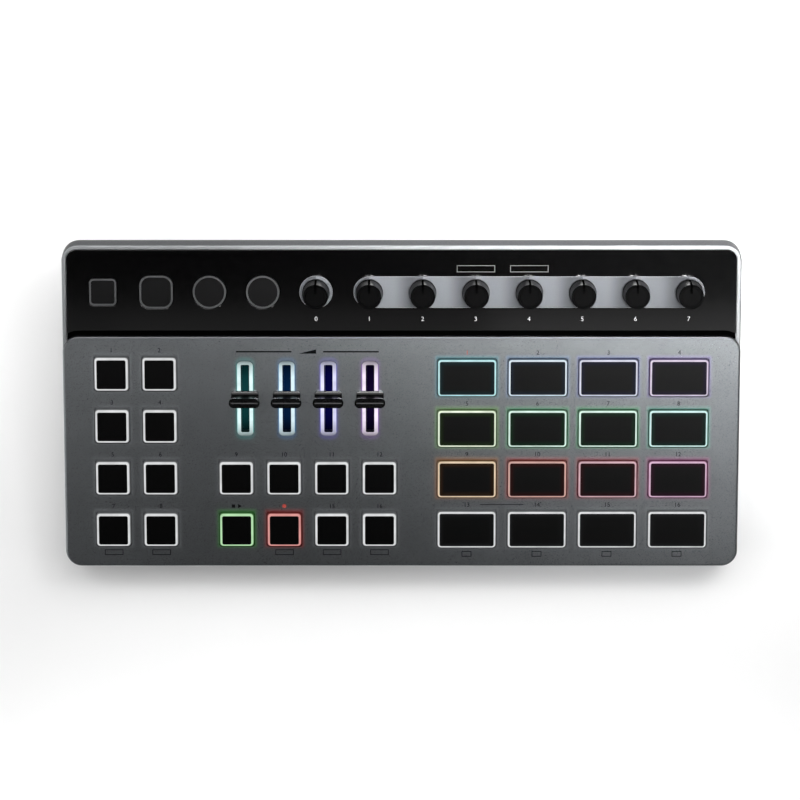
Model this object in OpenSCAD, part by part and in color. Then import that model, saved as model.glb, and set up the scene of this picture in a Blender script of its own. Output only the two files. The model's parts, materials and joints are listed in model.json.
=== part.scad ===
// Drum pad controller: a low wedge-shaped desktop case. A sloped metal deck carries lit keys,
// lit pads and slide faders, and a glossy black band behind it carries buttons and rotary knobs.
// Lengths are in millimetres. +Z is up, the front faces -Y, and the origin lies on the table
// under the middle of the case. Deck sizes are measured in the plane of the deck: u to the
// right from the middle, v to the rear from the front edge, w upwards from the deck's top.

/* [Stance] */
// Slope of the deck, in degrees
deck_slope = 8; // [7.5:0.5:12]
// Height of the rubber feet below the case
foot_h = 2.5; // [1.5:0.1:6]
// Height of the bottom case under the shell's front edge
case_front_h = 7; // [6:0.5:14]

/* [Deck] */
// Thickness of the deck plate
deck_t = 2; // [1.2:0.1:3.5]
// Radius of the deck plate's rear corners
deck_rear_r = 7.3; // [3:0.1:8]
// Rounding of the deck plate's upper edge
deck_edge_r = 0.9; // [0.3:0.1:1.1]
// From the front edge to the middle of the front row
row_front = 17.5; // [14:0.1:30]
// From the middle of the rear row to the deck's rear edge
row_rear = 17.55; // [15:0.05:30]

/* [Keys] */
// From the left edge to the middle of the first column of keys
key_left = 22.3; // [20:0.1:40]
// Spacing of the key columns
key_pitch = 22; // [20:0.1:28]
// Spacing of the key rows
key_row_pitch = 24.4; // [21:0.1:30]
// From the left block's last column to the middle block's first column
key_gap = 35; // [24:0.1:60]
// Width of a key at its foot
key_w = 16; // [12:0.1:17]
// Width of the lit rim round a key's black face
key_rim = 1.3; // [0.8:0.1:2]
// Height of a key above the deck
key_h = 2.7; // [1.6:0.1:5]
// Travel of a key
key_travel = 1.2; // [0.5:0.1:2]

/* [Pads] */
// From the middle block's last column to the first column of pads
pad_gap = 40.3; // [28:0.1:60]
// From the last column of pads to the right edge
pad_right = 28.1; // [22:0.1:40]
// Spacing of the pad columns
pad_pitch = 32.45; // [31:0.05:42]
// Spacing of the pad rows
pad_row_pitch = 23.8; // [21.5:0.1:30]
// Width of a pad at its foot
pad_w = 27.2; // [20:0.1:28]
// Depth of a pad at its foot
pad_d = 17.45; // [12:0.05:18]
// Width of the lit rim round a pad's black face
pad_rim = 1.05; // [0.7:0.05:1.6]
// Height of a pad above the deck
pad_h = 2; // [1.2:0.1:4]
// Travel of a pad
pad_travel = 1; // [0.5:0.1:2]

/* [Faders] */
// Spacing of the faders
fader_pitch = 19.15; // [17:0.05:22]
// From the deck's rear edge to the middle of the fader slots
fader_rear = 29.1; // [26.2:0.1:32]
// Whole travel of a fader
fader_travel = 29; // [20:0.5:34]
// Width of the fader slot
slot_w = 3.9; // [3.4:0.1:5]
// Width of the lit guide along the slot's sides
guide_rim = 1.85; // [1.2:0.05:2.4]
// Width of the lit guide at the slot's ends
guide_end = 1.65; // [1.2:0.05:2.4]
// Radius of the slot's corners
slot_r = 0.6; // [0.3:0.1:1.6]
// Radius of the lit guide's corners
guide_r = 2.3; // [1:0.1:3]
// Length of the fader cap's top bar
cap_w = 14.1; // [13.5:0.1:16]
// Length of the fader cap's stem
cap_stem_w = 12.6; // [9:0.1:13.2]
// Depth of the fader cap's foot
cap_d = 7.6; // [6:0.1:10]
// Depth of the fader cap's top bar
cap_bar_d = 4.5; // [3:0.1:5]
// Height of the fader cap above the deck
cap_h = 11; // [8:0.1:14]

/* [Shell] */
// From the deck's rear edge to the shell's rear edge
band_d = 41.8; // [38:0.1:60]
// Radius of the shell's corners and of the deck plate's front corners
shell_r = 7.3; // [6:0.1:12]
// Width of the shell's rim along its sides and its front
rim_side = 1.75; // [1.5:0.05:2.5]
// Width of the shell's rim along its rear
rim_rear = 1.9; // [1.5:0.1:4]
// How far the shell's walls lean out towards their foot
wall_lean = 0.6; // [0.2:0.1:1.5]
// Rounding of the rim's outer edge
rim_edge_r = 0.5; // [0.3:0.1:1.2]
// Width of the ledge inside the rim that carries the deck plate
ledge_w = 4; // [2:0.1:4.5]

/* [Control panel] */
// Thickness of the glossy panel
panel_t = 2.5; // [2:0.1:4]
// Drop from the rim's top to the panel's face
panel_drop = 0.5; // [0.2:0.1:1.5]
// Radius of the panel's rear corners
panel_r = 4.5; // [2:0.1:8]
// Width of the groove between the panel's face and the deck plate
groove_w = 2.2; // [1:0.1:4]
// Depth of that groove below the panel's face
groove_depth = 1.3; // [0.5:0.1:1.5]
// How far the panel reaches under the deck plate's rounded corners
panel_lap = 0.35; // [0.2:0.05:1]
// Thickness of the shelf under the panel
shelf_t = 2; // [1.5:0.1:3]

/* [Knobs] */
// From the row of knobs and buttons to the shell's rear edge
knob_rear = 21.75; // [20:0.05:25]
// From the left edge to the first place of the row
row_left = 18.7; // [16:0.1:24]
// From the last place of the row to the right edge
row_right = 23.9; // [16:0.1:30]
// Diameter of a knob's skirt
knob_d = 12.5; // [11.5:0.1:14]
// Diameter of a knob's top
knob_top_d = 11.3; // [9:0.1:11.4]
// Height of a knob
knob_h = 13.6; // [11:0.1:20]
// Diameter of a knob's shaft
shaft_d = 6; // [4:0.1:6.4]
// Width of the pale strip behind the knobs
strip_w = 14.7; // [13:0.1:18]
// Diameter of the pale collar of the first knob
collar_d = 15.4; // [14:0.1:18]
// Thickness of the strip and the collar
strip_t = 0.9; // [0.6:0.1:1.2]
// How far the strip and the collar stand above the panel
strip_proud = 0.35; // [0.1:0.05:0.5]

/* [Panel buttons] */
// Width of the first, square button
square_button_w = 12.4; // [10:0.1:15]
// Width of the other buttons
button_w = 15.2; // [12:0.1:16]
// Width of the pale bead round a button's face
bead_w = 0.8; // [0.5:0.1:1.5]
// Height of a button above the panel
button_h = 0.5; // [0.3:0.1:2]
// Travel of a panel button
button_travel = 0.8; // [0.4:0.1:1.5]

/* [Bottom case] */
// How far the bottom case stands in from the shell
case_inset = 11; // [10:0.5:16]
// Wall of the bottom case
case_wall = 2.2; // [1.6:0.1:3.5]
// Floor of the bottom case
floor_t = 3; // [2.4:0.1:5]
// Radius of the bottom case's corners
case_r = 8; // [5:0.5:14]
// Width and height of the bevel round its underside
case_bevel = 3; // [1:0.1:5]
// Thickness of the flange that closes the shell from below
flange_t = 2; // [1.5:0.1:4]
// Room between the deck board and that flange
board_room = 1.9; // [1:0.1:6]
// Diameter of a foot
foot_d = 14; // [8:0.5:20]
// From the bottom case's sides to the middle of a foot
foot_in = 16; // [14:0.5:40]

/* [Rear sockets] */
// Bore of an audio socket
jack_bore_d = 6.5; // [6.4:0.05:6.6]
// Diameter of an audio socket's bushing
jack_bush_d = 11; // [10:0.1:12]
// Spacing of the audio sockets
jack_pitch = 24; // [20:0.5:30]
// Room between the audio sockets and the case's floor
socket_rise = 2.5; // [1:0.1:4]
// From the middle of the case to the first audio socket
jack_u = 55; // [40:1:70]
// From the middle of the case to the data socket
usb_u = 100; // [60:1:120]

/* [Clearances] */
// Gap round a key, pad or button in its hole
run_gap = 0.35; // [0.3:0.05:0.6]
// Gap over the flange that stops a key, pad or button
seat_gap = 0.25; // [0.2:0.05:0.5]
// Gap left under a fully pressed key, pad or button
press_gap = 0.3; // [0.3:0.05:0.6]
// Gap round a shaft in its bushing
shaft_gap = 0.3; // [0.25:0.05:0.4]
// Gap between fixed pieces that fit into each other
fit_gap = 0.15; // [0.1:0.05:0.25]
// Gap between the glossy panel and the shell's rim
panel_gap = 0.4; // [0.1:0.05:0.6]

/* [Hidden] */
$fn = 48;
// Facets of the small rounded corners that are blended
blend_fn = 16;
// Thickness of a layer that only guides a blend
film = 0.01;
// Overlap of pieces that are joined or cut through
lap = 0.5;
// Gap of a cap or knob that is pushed on its lever or shaft
push_gap = 0.05;
// Length that clears the whole case
clear = 200;
// Radius of a corner that is left sharp
sharp_r = 0.01;
// Step of the facets of a rounded plate edge, in degrees
edge_step = 30;

rows = 4;
columns = 4;
left_columns = 2;
mid_rows = 2;
faders = 4;
row_places = 12;
buttons = 4;
pots = 7;
jacks = 3;

// Plan of the deck and the shell
deck_d = row_front + (rows - 1) * max(key_row_pitch, pad_row_pitch) + row_rear;
slab_d = deck_d + band_d;
left_u = key_left;
mid_u = left_u + (left_columns - 1) * key_pitch + key_gap;
pad_u = mid_u + (columns - 1) * key_pitch + pad_gap;
slab_w = pad_u + (columns - 1) * pad_pitch + pad_right;
deck_front_r = shell_r;
knob_pitch = (slab_w - row_left - row_right) / (row_places - 1);

// Keys and pads, measured downwards and upwards from the deck's top
key_r = 1.6;
key_foot_h = 0.3;
cap_step = 0.35;
cap_film_h = 0.4;
cap_chamfer = 0.2;
flange_lip = 0.9;
key_flange_t = 1;
plunger_l = 1.8;
plunger_in = 3;
stop_w = -deck_t - seat_gap;
plunger_w = stop_w - key_flange_t - plunger_l;

// Stack of the switch mat and the deck board under the keys
dome_h = 1;
dome_base_d = 9;
dome_top_d = 6;
mat_t = 1;
board_t = 1.6;
mat_top_w = plunger_w - max(key_travel, pad_travel) - press_gap - dome_h;
board_top_w = mat_top_w - mat_t;
board_w = board_top_w - board_t;
wall_w = board_w - board_room - flange_t;

// Shell
rim_w = -deck_t;
ledge_t = 2;
rib_t = 2;
tuck_step = 0.05;
corner_in = deck_rear_r - rim_side;
corner_drop = deck_rear_r - sqrt(pow(deck_rear_r, 2) - pow(corner_in, 2));
panel_tuck = ceil((corner_drop + panel_lap) / tuck_step) * tuck_step;
rib_v = deck_d - panel_tuck - fit_gap;
panel_w = rim_w - panel_drop;
shelf_w = panel_w - panel_t;
boss_d = 7.2;
boss_sink = 0.3;
boss_side = rim_side + boss_d / 2 - boss_sink;
boss_rear = rim_rear + boss_d / 2 - boss_sink;
screw_d = 3;
screw_head_d = 5.6;
screw_head_h = 2;
screw_l = 7;
screw_gap = 0.1;

// Faders
lever_w = 2;
lever_t = 1.2;
slot_end = 0.65;
slot_l = fader_travel + lever_t + 2 * slot_end;
guide_w = slot_w + 2 * guide_rim;
guide_l = slot_l + 2 * guide_end;
guide_lip = 1;
guide_lip_t = 1;
guide_proud = 0.15;
slide_pot_w = 9;
slide_pot_end = 5.2;
guide_room = 0.4;
slide_pot_top = -deck_t - guide_lip_t - guide_room;
lever_reach = 2.2;
lever_floor_gap = 0.4;
lever_side_gap = 0.5;
lever_foot_w = slide_pot_top - lever_reach;
slot_floor_w = lever_foot_w - lever_floor_gap;
lever_groove = lever_w + 2 * lever_side_gap;
fader_v = deck_d - fader_rear;
cap_foot_gap = 0.6;
cap_foot_w = guide_proud + cap_foot_gap;
cap_foot_t = 1.6;
cap_bar_t = 2.2;
cap_line_w = 0.6;
cap_line_depth = 0.25;
cap_line_in = 0.9;
cap_neck_d = 2.8;
cap_r = 1.2;
lever_seat = 4;

// Knobs and rotary potentiometers
knob_v = slab_d - knob_rear;
strip_top_w = panel_w + strip_proud;
knob_foot_gap = 0.5;
knob_foot_w = strip_top_w + knob_foot_gap;
knob_skirt_h = 2.4;
knob_skirt_step = 0.25;
knob_chamfer = 0.5;
knob_dish = 0.3;
knob_hollow_h = 4.6;
knob_line_w = 1;
knob_line_depth = 0.45;
knob_line_in = 1.6;
bush_wall = 0.5;
bush_d = shaft_d + 2 * (shaft_gap + bush_wall);
bush_h = 1.8;
bush_gap = 0.3;
knob_bush_gap = 0.8;
knob_hollow_d = bush_d + 2 * knob_bush_gap;
shaft_top = 4.8;
pot_w = 10;
pot_d = 11;
pot_h = 6.5;
pot_top_w = shelf_w - shelf_t - fit_gap;
shaft_reach = 3.5;
shaft_foot_w = pot_top_w - shaft_reach;
panel_board_top_w = pot_top_w - pot_h;
panel_board_w = panel_board_top_w - board_t;
panel_board_front = 7.5;
panel_board_gap = 1.3;

// Panel buttons
square_button_r = 2;
soft_button_r = 4.6;
bead_h = 0.2;
button_lip = 0.8;
button_flange_t = 0.9;
button_stop_w = shelf_w - seat_gap;
button_post_d = 5;
button_post_l = 3.2;
button_foot_w = button_stop_w - button_flange_t - button_post_l;
tact_w = 6;
tact_top_w = button_foot_w - button_travel - press_gap;

// Stance of the deck in the part's frame
front_y = deck_edge_r * sin(deck_slope);
rear_y = (slab_d + wall_lean) * cos(deck_slope) - wall_w * sin(deck_slope);
deck_y = -(front_y + rear_y) / 2;
deck_z = foot_h + case_front_h - wall_w * cos(deck_slope);

// Bottom case
case_front_y = deck_y - wall_w * sin(deck_slope) + case_inset;
case_rear_y = deck_y + rear_y - case_inset;
case_w = slab_w - 2 * case_inset;
case_d = case_rear_y - case_front_y;
case_mid_y = (case_rear_y + case_front_y) / 2;
case_inner_r = case_r - case_wall;
floor_z = foot_h + floor_t;
post_d = 6;
post_sink = 1.5;
post_side = 36;
post_front = 24;
post_rear = 15;
deck_posts_u = [post_side - slab_w / 2, 0, slab_w / 2 - post_side];
deck_posts_v = [post_front, deck_d - post_rear];
foot_pocket = 1;
foot_chamfer = 0.8;

// Rear sockets
jack_w = 15;
jack_l = 24;
jack_nose = 3.5;
jack_bore_l = 26;
socket_z = floor_z + socket_rise + jack_w / 2;
jack_nut_d = 16;
jack_nut_t = 2.2;
jack_nut_sides = 6;
usb_w = 9;
usb_h = 3.2;
usb_wall = 0.35;
usb_l = 8;
usb_back_t = 0.7;
usb_tongue_in = 0.7;
usb_tongue_w = 6.6;
usb_tongue_t = 0.7;

// Centres of the columns, rows and places
function key_u(block_u, column) = -slab_w / 2 + block_u + column * key_pitch;
function pad_col_u(column) = -slab_w / 2 + pad_u + column * pad_pitch;
function key_v(row) = row_front + (rows - 1 - row) * key_row_pitch;
function pad_v(row) = row_front + (rows - 1 - row) * pad_row_pitch;
function fader_u(i) = key_u(mid_u, (columns - 1) / 2) + (i - (faders - 1) / 2) * fader_pitch;
function place_u(i) = -slab_w / 2 + row_left + i * knob_pitch;
function knob_u(i) = place_u(buttons + i);
function jack_x(i) = jack_u + i * jack_pitch;
// Posts of the panel board: two under its buttons and one on each side of the audio sockets
function panel_posts_u() = [
    place_u(0),
    place_u(buttons - 1),
    jack_x(0) - jack_w / 2 - post_d,
    jack_x(jacks - 1) + jack_w / 2 + post_d
];
// Height in the part's frame of a point on the deck's own grid
function height(v, w) = deck_z + v * sin(deck_slope) + w * cos(deck_slope);

left_keys = [for (r = [0:rows - 1], c = [0:left_columns - 1]) [key_u(left_u, c), key_v(r)]];
mid_keys = [for (r = [rows - mid_rows:rows - 1], c = [0:columns - 1]) [key_u(mid_u, c), key_v(r)]];
pads = [for (r = [0:rows - 1], c = [0:columns - 1]) [pad_col_u(c), pad_v(r)]];
all_keys = concat(left_keys, mid_keys);
// Screw bosses stand in the corners and in the two gaps between the blocks of keys and pads
left_gap_u = key_u(left_u, left_columns - 1) + key_gap / 2;
right_gap_u = (key_u(mid_u, columns - 1) + key_w / 2 + pad_col_u(0) - pad_w / 2) / 2;
boss_columns = [boss_side - slab_w / 2, left_gap_u, right_gap_u, slab_w / 2 - boss_side];
boss_rows = [boss_side, slab_d - boss_rear];
boss_places = [for (v = boss_rows, u = boss_columns) [u, v]];

// Puts what is drawn on the deck's own grid into the part's frame
module on_deck() {
    translate([0, deck_y, deck_z])
        rotate([deck_slope, 0, 0])
            children();
}

// Rectangle with round corners, about its middle
module round_rect(w, d, r) {
    square([w - 2 * r, d], center = true);
    square([w, d - 2 * r], center = true);
    for (x = [-1, 1], y = [-1, 1])
        translate([x * (w / 2 - r), y * (d / 2 - r)])
            circle(r);
}

// Slot with round ends along v
module stadium(w, l) {
    square([w, l - w], center = true);
    for (y = [-1, 1])
        translate([0, y * (l - w) / 2])
            circle(d = w);
}

// Outline from v0 to v1 with its own radii at the front and the rear corners
module slab_outline(w, v0, v1, front_r, rear_r) {
    translate([0, (v0 + front_r + v1 - rear_r) / 2])
        square([w, v1 - v0 - front_r - rear_r], center = true);
    translate([0, v0 + front_r / 2])
        square([w - 2 * front_r, front_r], center = true);
    translate([0, v1 - rear_r / 2])
        square([w - 2 * rear_r, rear_r], center = true);
    for (x = [-1, 1]) {
        translate([x * (w / 2 - front_r), v0 + front_r])
            circle(front_r);
        translate([x * (w / 2 - rear_r), v1 - rear_r])
            circle(rear_r);
    }
}

// Plate whose upper edge is rounded in steps of 30 degrees and whose sides may lean out downwards
module soft_slab(w, v0, v1, front_r, rear_r, bottom_w, top_w, edge_r, lean = 0) {
    hull() {
        translate([0, 0, bottom_w])
            linear_extrude(film)
                slab_outline(
                    w + 2 * lean, v0 - lean, v1 + lean,
                    front_r + lean, rear_r + lean
                );
        for (a = [0:edge_step:90]) {
            inset = edge_r * (1 - cos(a));
            translate([0, 0, top_w - edge_r * (1 - sin(a)) - film])
                linear_extrude(film)
                    slab_outline(
                        w - 2 * inset, v0 + inset, v1 - inset,
                        front_r - inset, rear_r - inset
                    );
        }
    }
}

// Solid between two heights
module layer(w0, w1) {
    translate([0, 0, w0])
        linear_extrude(w1 - w0)
            children();
}

// Key or pad: a flange under the deck, a lit skirt that draws in, and a black cap on it
module press_key(w, d, rim, h) {
    skirt_in = 2 * (rim - cap_step);
    skirt_top = h - cap_film_h;
    layer(plunger_w, stop_w)
        square([w - 2 * plunger_in, d - 2 * plunger_in], center = true);
    layer(stop_w - key_flange_t, stop_w)
        round_rect(w + 2 * (run_gap + flange_lip), d + 2 * (run_gap + flange_lip), key_r);
    hull($fn = blend_fn) {
        layer(stop_w - film, key_foot_h)
            round_rect(w, d, key_r);
        layer(skirt_top - film, skirt_top)
            round_rect(w - skirt_in, d - skirt_in, key_r - skirt_in / 4);
    }
    cap_key(w - 2 * rim, d - 2 * rim, skirt_top, h);
}

// Black cap of a key or pad with a chamfered edge
module cap_key(w, d, foot_w, top_w) {
    r = key_r / 2;
    hull($fn = blend_fn) {
        layer(foot_w - film, top_w - cap_chamfer)
            round_rect(w, d, r);
        layer(top_w - film, top_w)
            round_rect(w - 2 * cap_chamfer, d - 2 * cap_chamfer, r - cap_chamfer);
    }
}

module lit_key(place) {
    color("#e8e8e8")
        on_deck()
            translate([place[0], place[1], 0])
                press_key(key_w, key_w, key_rim, key_h);
}

module pad(place) {
    color("#303234")
        on_deck()
            translate([place[0], place[1], 0])
                press_key(pad_w, pad_d, pad_rim, pad_h);
}

// Lower half of the slim T-shaped fader cap, seen along u: a foot and a waisted neck
module cap_side() {
    neck_h = cap_h - cap_bar_t - cap_foot_t;
    waist_r = (cap_d - cap_neck_d) / 2;
    difference() {
        translate([-cap_d / 2, 0])
            square([cap_d, cap_foot_t + neck_h]);
        for (side = [-1, 1])
            translate([side * cap_d / 2, cap_foot_t + waist_r])
                circle(waist_r);
        for (side = [-1, 1])
            translate([side * (cap_d / 2 + cap_neck_d / 2) - cap_d / 2, cap_foot_t + waist_r])
                square([cap_d, neck_h + lap]);
    }
}

// One fader: the cap with its marker groove, and the metal lever that it is pushed on
module fader_cap(i) {
    color("#161616")
        on_deck()
            translate([fader_u(i), fader_v, 0]) {
                difference() {
                    union() {
                        intersection() {
                            translate([-cap_stem_w / 2, 0, cap_foot_w])
                                rotate([90, 0, 90])
                                    linear_extrude(cap_stem_w)
                                        cap_side();
                            layer(cap_foot_w - lap, cap_foot_w + cap_h)
                                round_rect(cap_stem_w, cap_d, cap_r);
                        }
                        layer(cap_foot_w + cap_h - cap_bar_t, cap_foot_w + cap_h)
                            rotate(90)
                                stadium(cap_bar_d, cap_w);
                    }
                    layer(cap_foot_w + cap_h - cap_line_depth, cap_foot_w + cap_h + lap)
                        square([cap_w - 2 * cap_line_in, cap_line_w], center = true);
                    layer(cap_foot_w - lap, cap_foot_w + lever_seat)
                        square([lever_w + 2 * push_gap, lever_t + 2 * push_gap], center = true);
                }
                layer(lever_foot_w, cap_foot_w + lever_seat - fit_gap)
                    square([lever_w, lever_t], center = true);
            }
}

// Knob turned from one profile, with a hollow foot, a dished top and a pointer groove
module knob(i) {
    r = knob_d / 2;
    top_r = knob_top_d / 2;
    line_w = knob_foot_w + knob_h - knob_dish - knob_line_depth;
    flank_w = knob_foot_w + knob_skirt_h + knob_skirt_step;
    color("#1c1c1c")
        on_deck()
            translate([knob_u(i), knob_v, 0]) {
                difference() {
                    translate([0, 0, knob_foot_w])
                        rotate_extrude()
                            polygon([
                                [0, knob_hollow_h],
                                [knob_hollow_d / 2, knob_hollow_h],
                                [knob_hollow_d / 2, 0],
                                [r, 0],
                                [r, knob_skirt_h],
                                [r - knob_skirt_step, knob_skirt_h + knob_skirt_step],
                                [top_r, knob_h - knob_chamfer],
                                [top_r - knob_chamfer, knob_h],
                                [top_r - 2 * knob_chamfer, knob_h],
                                [top_r - 2 * knob_chamfer - knob_dish, knob_h - knob_dish],
                                [0, knob_h - knob_dish],
                            ]);
                    layer(knob_foot_w + knob_hollow_h - lap, knob_foot_w + knob_hollow_h + shaft_top)
                        circle(d = shaft_d + 2 * push_gap);
                    translate([-knob_line_w / 2, knob_line_in, line_w])
                        cube([knob_line_w, r, knob_h]);
                    translate([-knob_line_w / 2, top_r - knob_line_depth, flank_w])
                        cube([knob_line_w, r, knob_h]);
                }
                layer(shaft_foot_w, knob_foot_w + knob_hollow_h + shaft_top - fit_gap)
                    circle(d = shaft_d);
            }
}

// Outline of a panel button, grown or shrunk all round: square, soft square, round, round
module button_outline(i, grow) {
    if (i == 0)
        round_rect(square_button_w + 2 * grow, square_button_w + 2 * grow, square_button_r + grow);
    else if (i == 1)
        round_rect(button_w + 2 * grow, button_w + 2 * grow, soft_button_r + grow);
    else
        circle(d = button_w + 2 * grow);
}

// Panel button: face with a pale bead round it, a flange under the panel and a post to its switch
module panel_button(i) {
    top_w = panel_w + button_h;
    color("#202224")
        on_deck()
            translate([place_u(i), knob_v, 0]) {
                layer(top_w - bead_h - lap, top_w)
                    difference() {
                        button_outline(i, 0);
                        button_outline(i, -bead_w);
                    }
                layer(button_stop_w - lap, top_w - bead_h)
                    button_outline(i, 0);
                layer(button_stop_w - button_flange_t, button_stop_w)
                    button_outline(i, run_gap + button_lip);
                layer(button_foot_w, button_stop_w)
                    circle(d = button_post_d);
            }
}

// Outline of a lit guide, grown all round
module guide_outline(grow) {
    round_rect(guide_w + 2 * grow, guide_l + 2 * grow, guide_r + grow);
}

// Deck plate: one sheet with a rounded edge, pierced for keys, pads and fader guides
module deck_plate() {
    color("#6c7074")
        on_deck()
            difference() {
                soft_slab(slab_w, 0, deck_d, deck_front_r, deck_rear_r, -deck_t, 0, deck_edge_r);
                layer(-deck_t - lap, lap) {
                    for (p = all_keys)
                        translate(p)
                            round_rect(key_w + 2 * run_gap, key_w + 2 * run_gap, key_r);
                    for (p = pads)
                        translate(p)
                            round_rect(pad_w + 2 * run_gap, pad_d + 2 * run_gap, key_r);
                    for (i = [0:faders - 1])
                        translate([fader_u(i), fader_v])
                            guide_outline(fit_gap);
                }
            }
}

// Outline of the room inside the shell's walls, smaller by a gap all round
module shell_inside(gap) {
    slab_outline(
        slab_w - 2 * (rim_side + gap), rim_side + gap, slab_d - rim_rear - gap,
        shell_r - rim_side, panel_r
    );
}

// Ledge inside the rim that carries the deck plate along its front and its sides
module ledge_outline() {
    ledge_in = rim_side + ledge_w;
    difference() {
        slab_outline(slab_w - rim_side, rim_side / 2, rib_v, shell_r - rim_side / 2, sharp_r);
        slab_outline(slab_w - 2 * ledge_in, ledge_in, rib_v - rib_t / 2, sharp_r, sharp_r);
    }
}

// Level where a screw boss meets the ledge in front or the shelf behind
function boss_top(v) = v < deck_d ? rim_w - ledge_t / 2 : shelf_w - shelf_t / 2;

// Top shell: walls and rim, the ledge and rib under the deck plate, the panel's shelf, screw bosses
module top_shell() {
    color("#9a9da0")
        on_deck()
            difference() {
                union() {
                    difference() {
                        soft_slab(
                            slab_w, 0, slab_d, shell_r, shell_r,
                            wall_w, rim_w, rim_edge_r, wall_lean
                        );
                        layer(wall_w - lap, lap)
                            shell_inside(0);
                    }
                    layer(rim_w - ledge_t, rim_w)
                        ledge_outline();
                    layer(shelf_w - shelf_t, rim_w)
                        translate([0, rib_v - rib_t / 2])
                            square([slab_w - rim_side, rib_t], center = true);
                    layer(shelf_w - shelf_t, shelf_w)
                        slab_outline(
                            slab_w - rim_side, rib_v - rib_t, slab_d - rim_rear / 2,
                            sharp_r, panel_r
                        );
                    for (p = boss_places)
                        translate(p)
                            layer(wall_w + flange_t, boss_top(p[1]))
                                circle(d = boss_d);
                }
                for (p = boss_places)
                    translate(p)
                        layer(wall_w, wall_w + flange_t + screw_l)
                            circle(d = screw_d + 2 * screw_gap);
                layer(shelf_w - shelf_t - lap, shelf_w + lap) {
                    for (i = [0:pots])
                        translate([knob_u(i), knob_v])
                            circle(d = bush_d + 2 * bush_gap);
                    for (i = [0:buttons - 1])
                        translate([place_u(i), knob_v])
                            button_outline(i, 2 * run_gap + button_lip);
                }
            }
}

// Strip behind the knobs and the collar of the first knob, smaller by a gap all round
module strip_outline(gap) {
    translate([(knob_u(1) + knob_u(pots)) / 2, knob_v])
        rotate(90)
            stadium(strip_w - 2 * gap, knob_u(pots) - knob_u(1) + strip_w - 2 * gap);
    translate([knob_u(0), knob_v])
        circle(d = collar_d - 2 * gap);
}

// Glossy panel: a face that keeps a groove's width from the deck plate, on a thinner full layer
module control_panel() {
    groove_floor_w = panel_w - groove_depth;
    color("#101112")
        on_deck()
            difference() {
                layer(shelf_w, panel_w)
                    difference() {
                        shell_inside(panel_gap);
                        translate([-clear, -clear])
                            square([2 * clear, clear + rib_v + fit_gap]);
                    }
                layer(groove_floor_w, lap)
                    slab_outline(
                        slab_w + 2 * groove_w, -groove_w, deck_d + groove_w,
                        deck_front_r + groove_w, deck_rear_r + groove_w
                    );
                layer(panel_w + strip_proud - strip_t, lap)
                    strip_outline(0);
                layer(shelf_w - lap, lap) {
                    for (i = [0:pots])
                        translate([knob_u(i), knob_v])
                            circle(d = bush_d + 2 * bush_gap);
                    for (i = [0:buttons - 1])
                        translate([place_u(i), knob_v])
                            button_outline(i, run_gap);
                }
            }
}

// Pale inlays of the panel: one strip for the seven pots and one collar
module knob_strip() {
    color("#c4c8cc")
        on_deck()
            layer(strip_top_w - strip_t, strip_top_w)
                difference() {
                    strip_outline(fit_gap);
                    for (i = [0:pots])
                        translate([knob_u(i), knob_v])
                            circle(d = bush_d + 2 * bush_gap);
                }
}

// Translucent guides that light the fader slots, each with a lip under the deck plate
module fader_light_guides() {
    color("#d8ecf4")
        on_deck()
            for (i = [0:faders - 1])
                translate([fader_u(i), fader_v, 0])
                    difference() {
                        union() {
                            layer(-deck_t - lap, guide_proud)
                                guide_outline(0);
                            layer(-deck_t - guide_lip_t, -deck_t)
                                guide_outline(guide_lip);
                        }
                        layer(-deck_t - guide_lip_t - lap, lap)
                            round_rect(slot_w, slot_l, slot_r);
                    }
}

// Plan outline of the bottom case, smaller by an inset all round
module case_outline(inset, r) {
    translate([0, case_mid_y])
        round_rect(case_w - 2 * inset, case_d - 2 * inset, r);
}

// Bottom case: a bevelled tub under a flange that closes the shell, with posts for the boards
module bottom_case() {
    color("#2a2c2e")
        difference() {
            union() {
                on_deck()
                    layer(wall_w, wall_w + flange_t)
                        shell_inside(fit_gap);
                intersection() {
                    union() {
                        hull() {
                            translate([0, 0, foot_h])
                                linear_extrude(film)
                                    case_outline(case_bevel, case_r - case_bevel / 2);
                            translate([0, 0, foot_h + case_bevel])
                                linear_extrude(film)
                                    case_outline(0, case_r);
                        }
                        translate([0, 0, foot_h + case_bevel])
                            linear_extrude(clear)
                                case_outline(0, case_r);
                    }
                    on_deck()
                        translate([-clear, -clear, wall_w - clear])
                            cube([2 * clear, 2 * clear, clear + flange_t / 2]);
                }
            }
            difference() {
                translate([0, 0, floor_z])
                    linear_extrude(clear)
                        case_outline(case_wall, case_inner_r);
                board_posts();
            }
            on_deck()
                for (p = boss_places)
                    translate(p)
                        layer(wall_w - lap, wall_w + flange_t + lap)
                            circle(d = screw_d + 2 * screw_gap);
            for (p = foot_places())
                translate([p[0], p[1], 0])
                    cylinder(d = foot_d + 2 * fit_gap, h = foot_h + foot_pocket);
            for (i = [0:jacks - 1])
                translate([jack_x(i), case_rear_y - case_wall - lap, socket_z])
                    rotate([-90, 0, 0])
                        cylinder(d = jack_bush_d + 2 * fit_gap, h = case_wall + 2 * lap);
            translate([-usb_u, case_rear_y - case_wall - lap, socket_z])
                rotate([-90, 0, 0])
                    linear_extrude(case_wall + 2 * lap)
                        rotate(90)
                            stadium(usb_h + 2 * fit_gap, usb_w + 2 * fit_gap);
        }
}

// One post square to the deck, from the case's floor to a board's underside
module board_post(u, v, top_w) {
    drop = (height(v, top_w) - floor_z + post_sink) / cos(deck_slope);
    on_deck()
        translate([u, v, top_w - drop])
            cylinder(d = post_d, h = drop);
}

module board_posts() {
    for (u = deck_posts_u, v = deck_posts_v)
        board_post(u, v, board_w);
    for (u = panel_posts_u())
        board_post(u, knob_v, panel_board_w);
}

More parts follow.
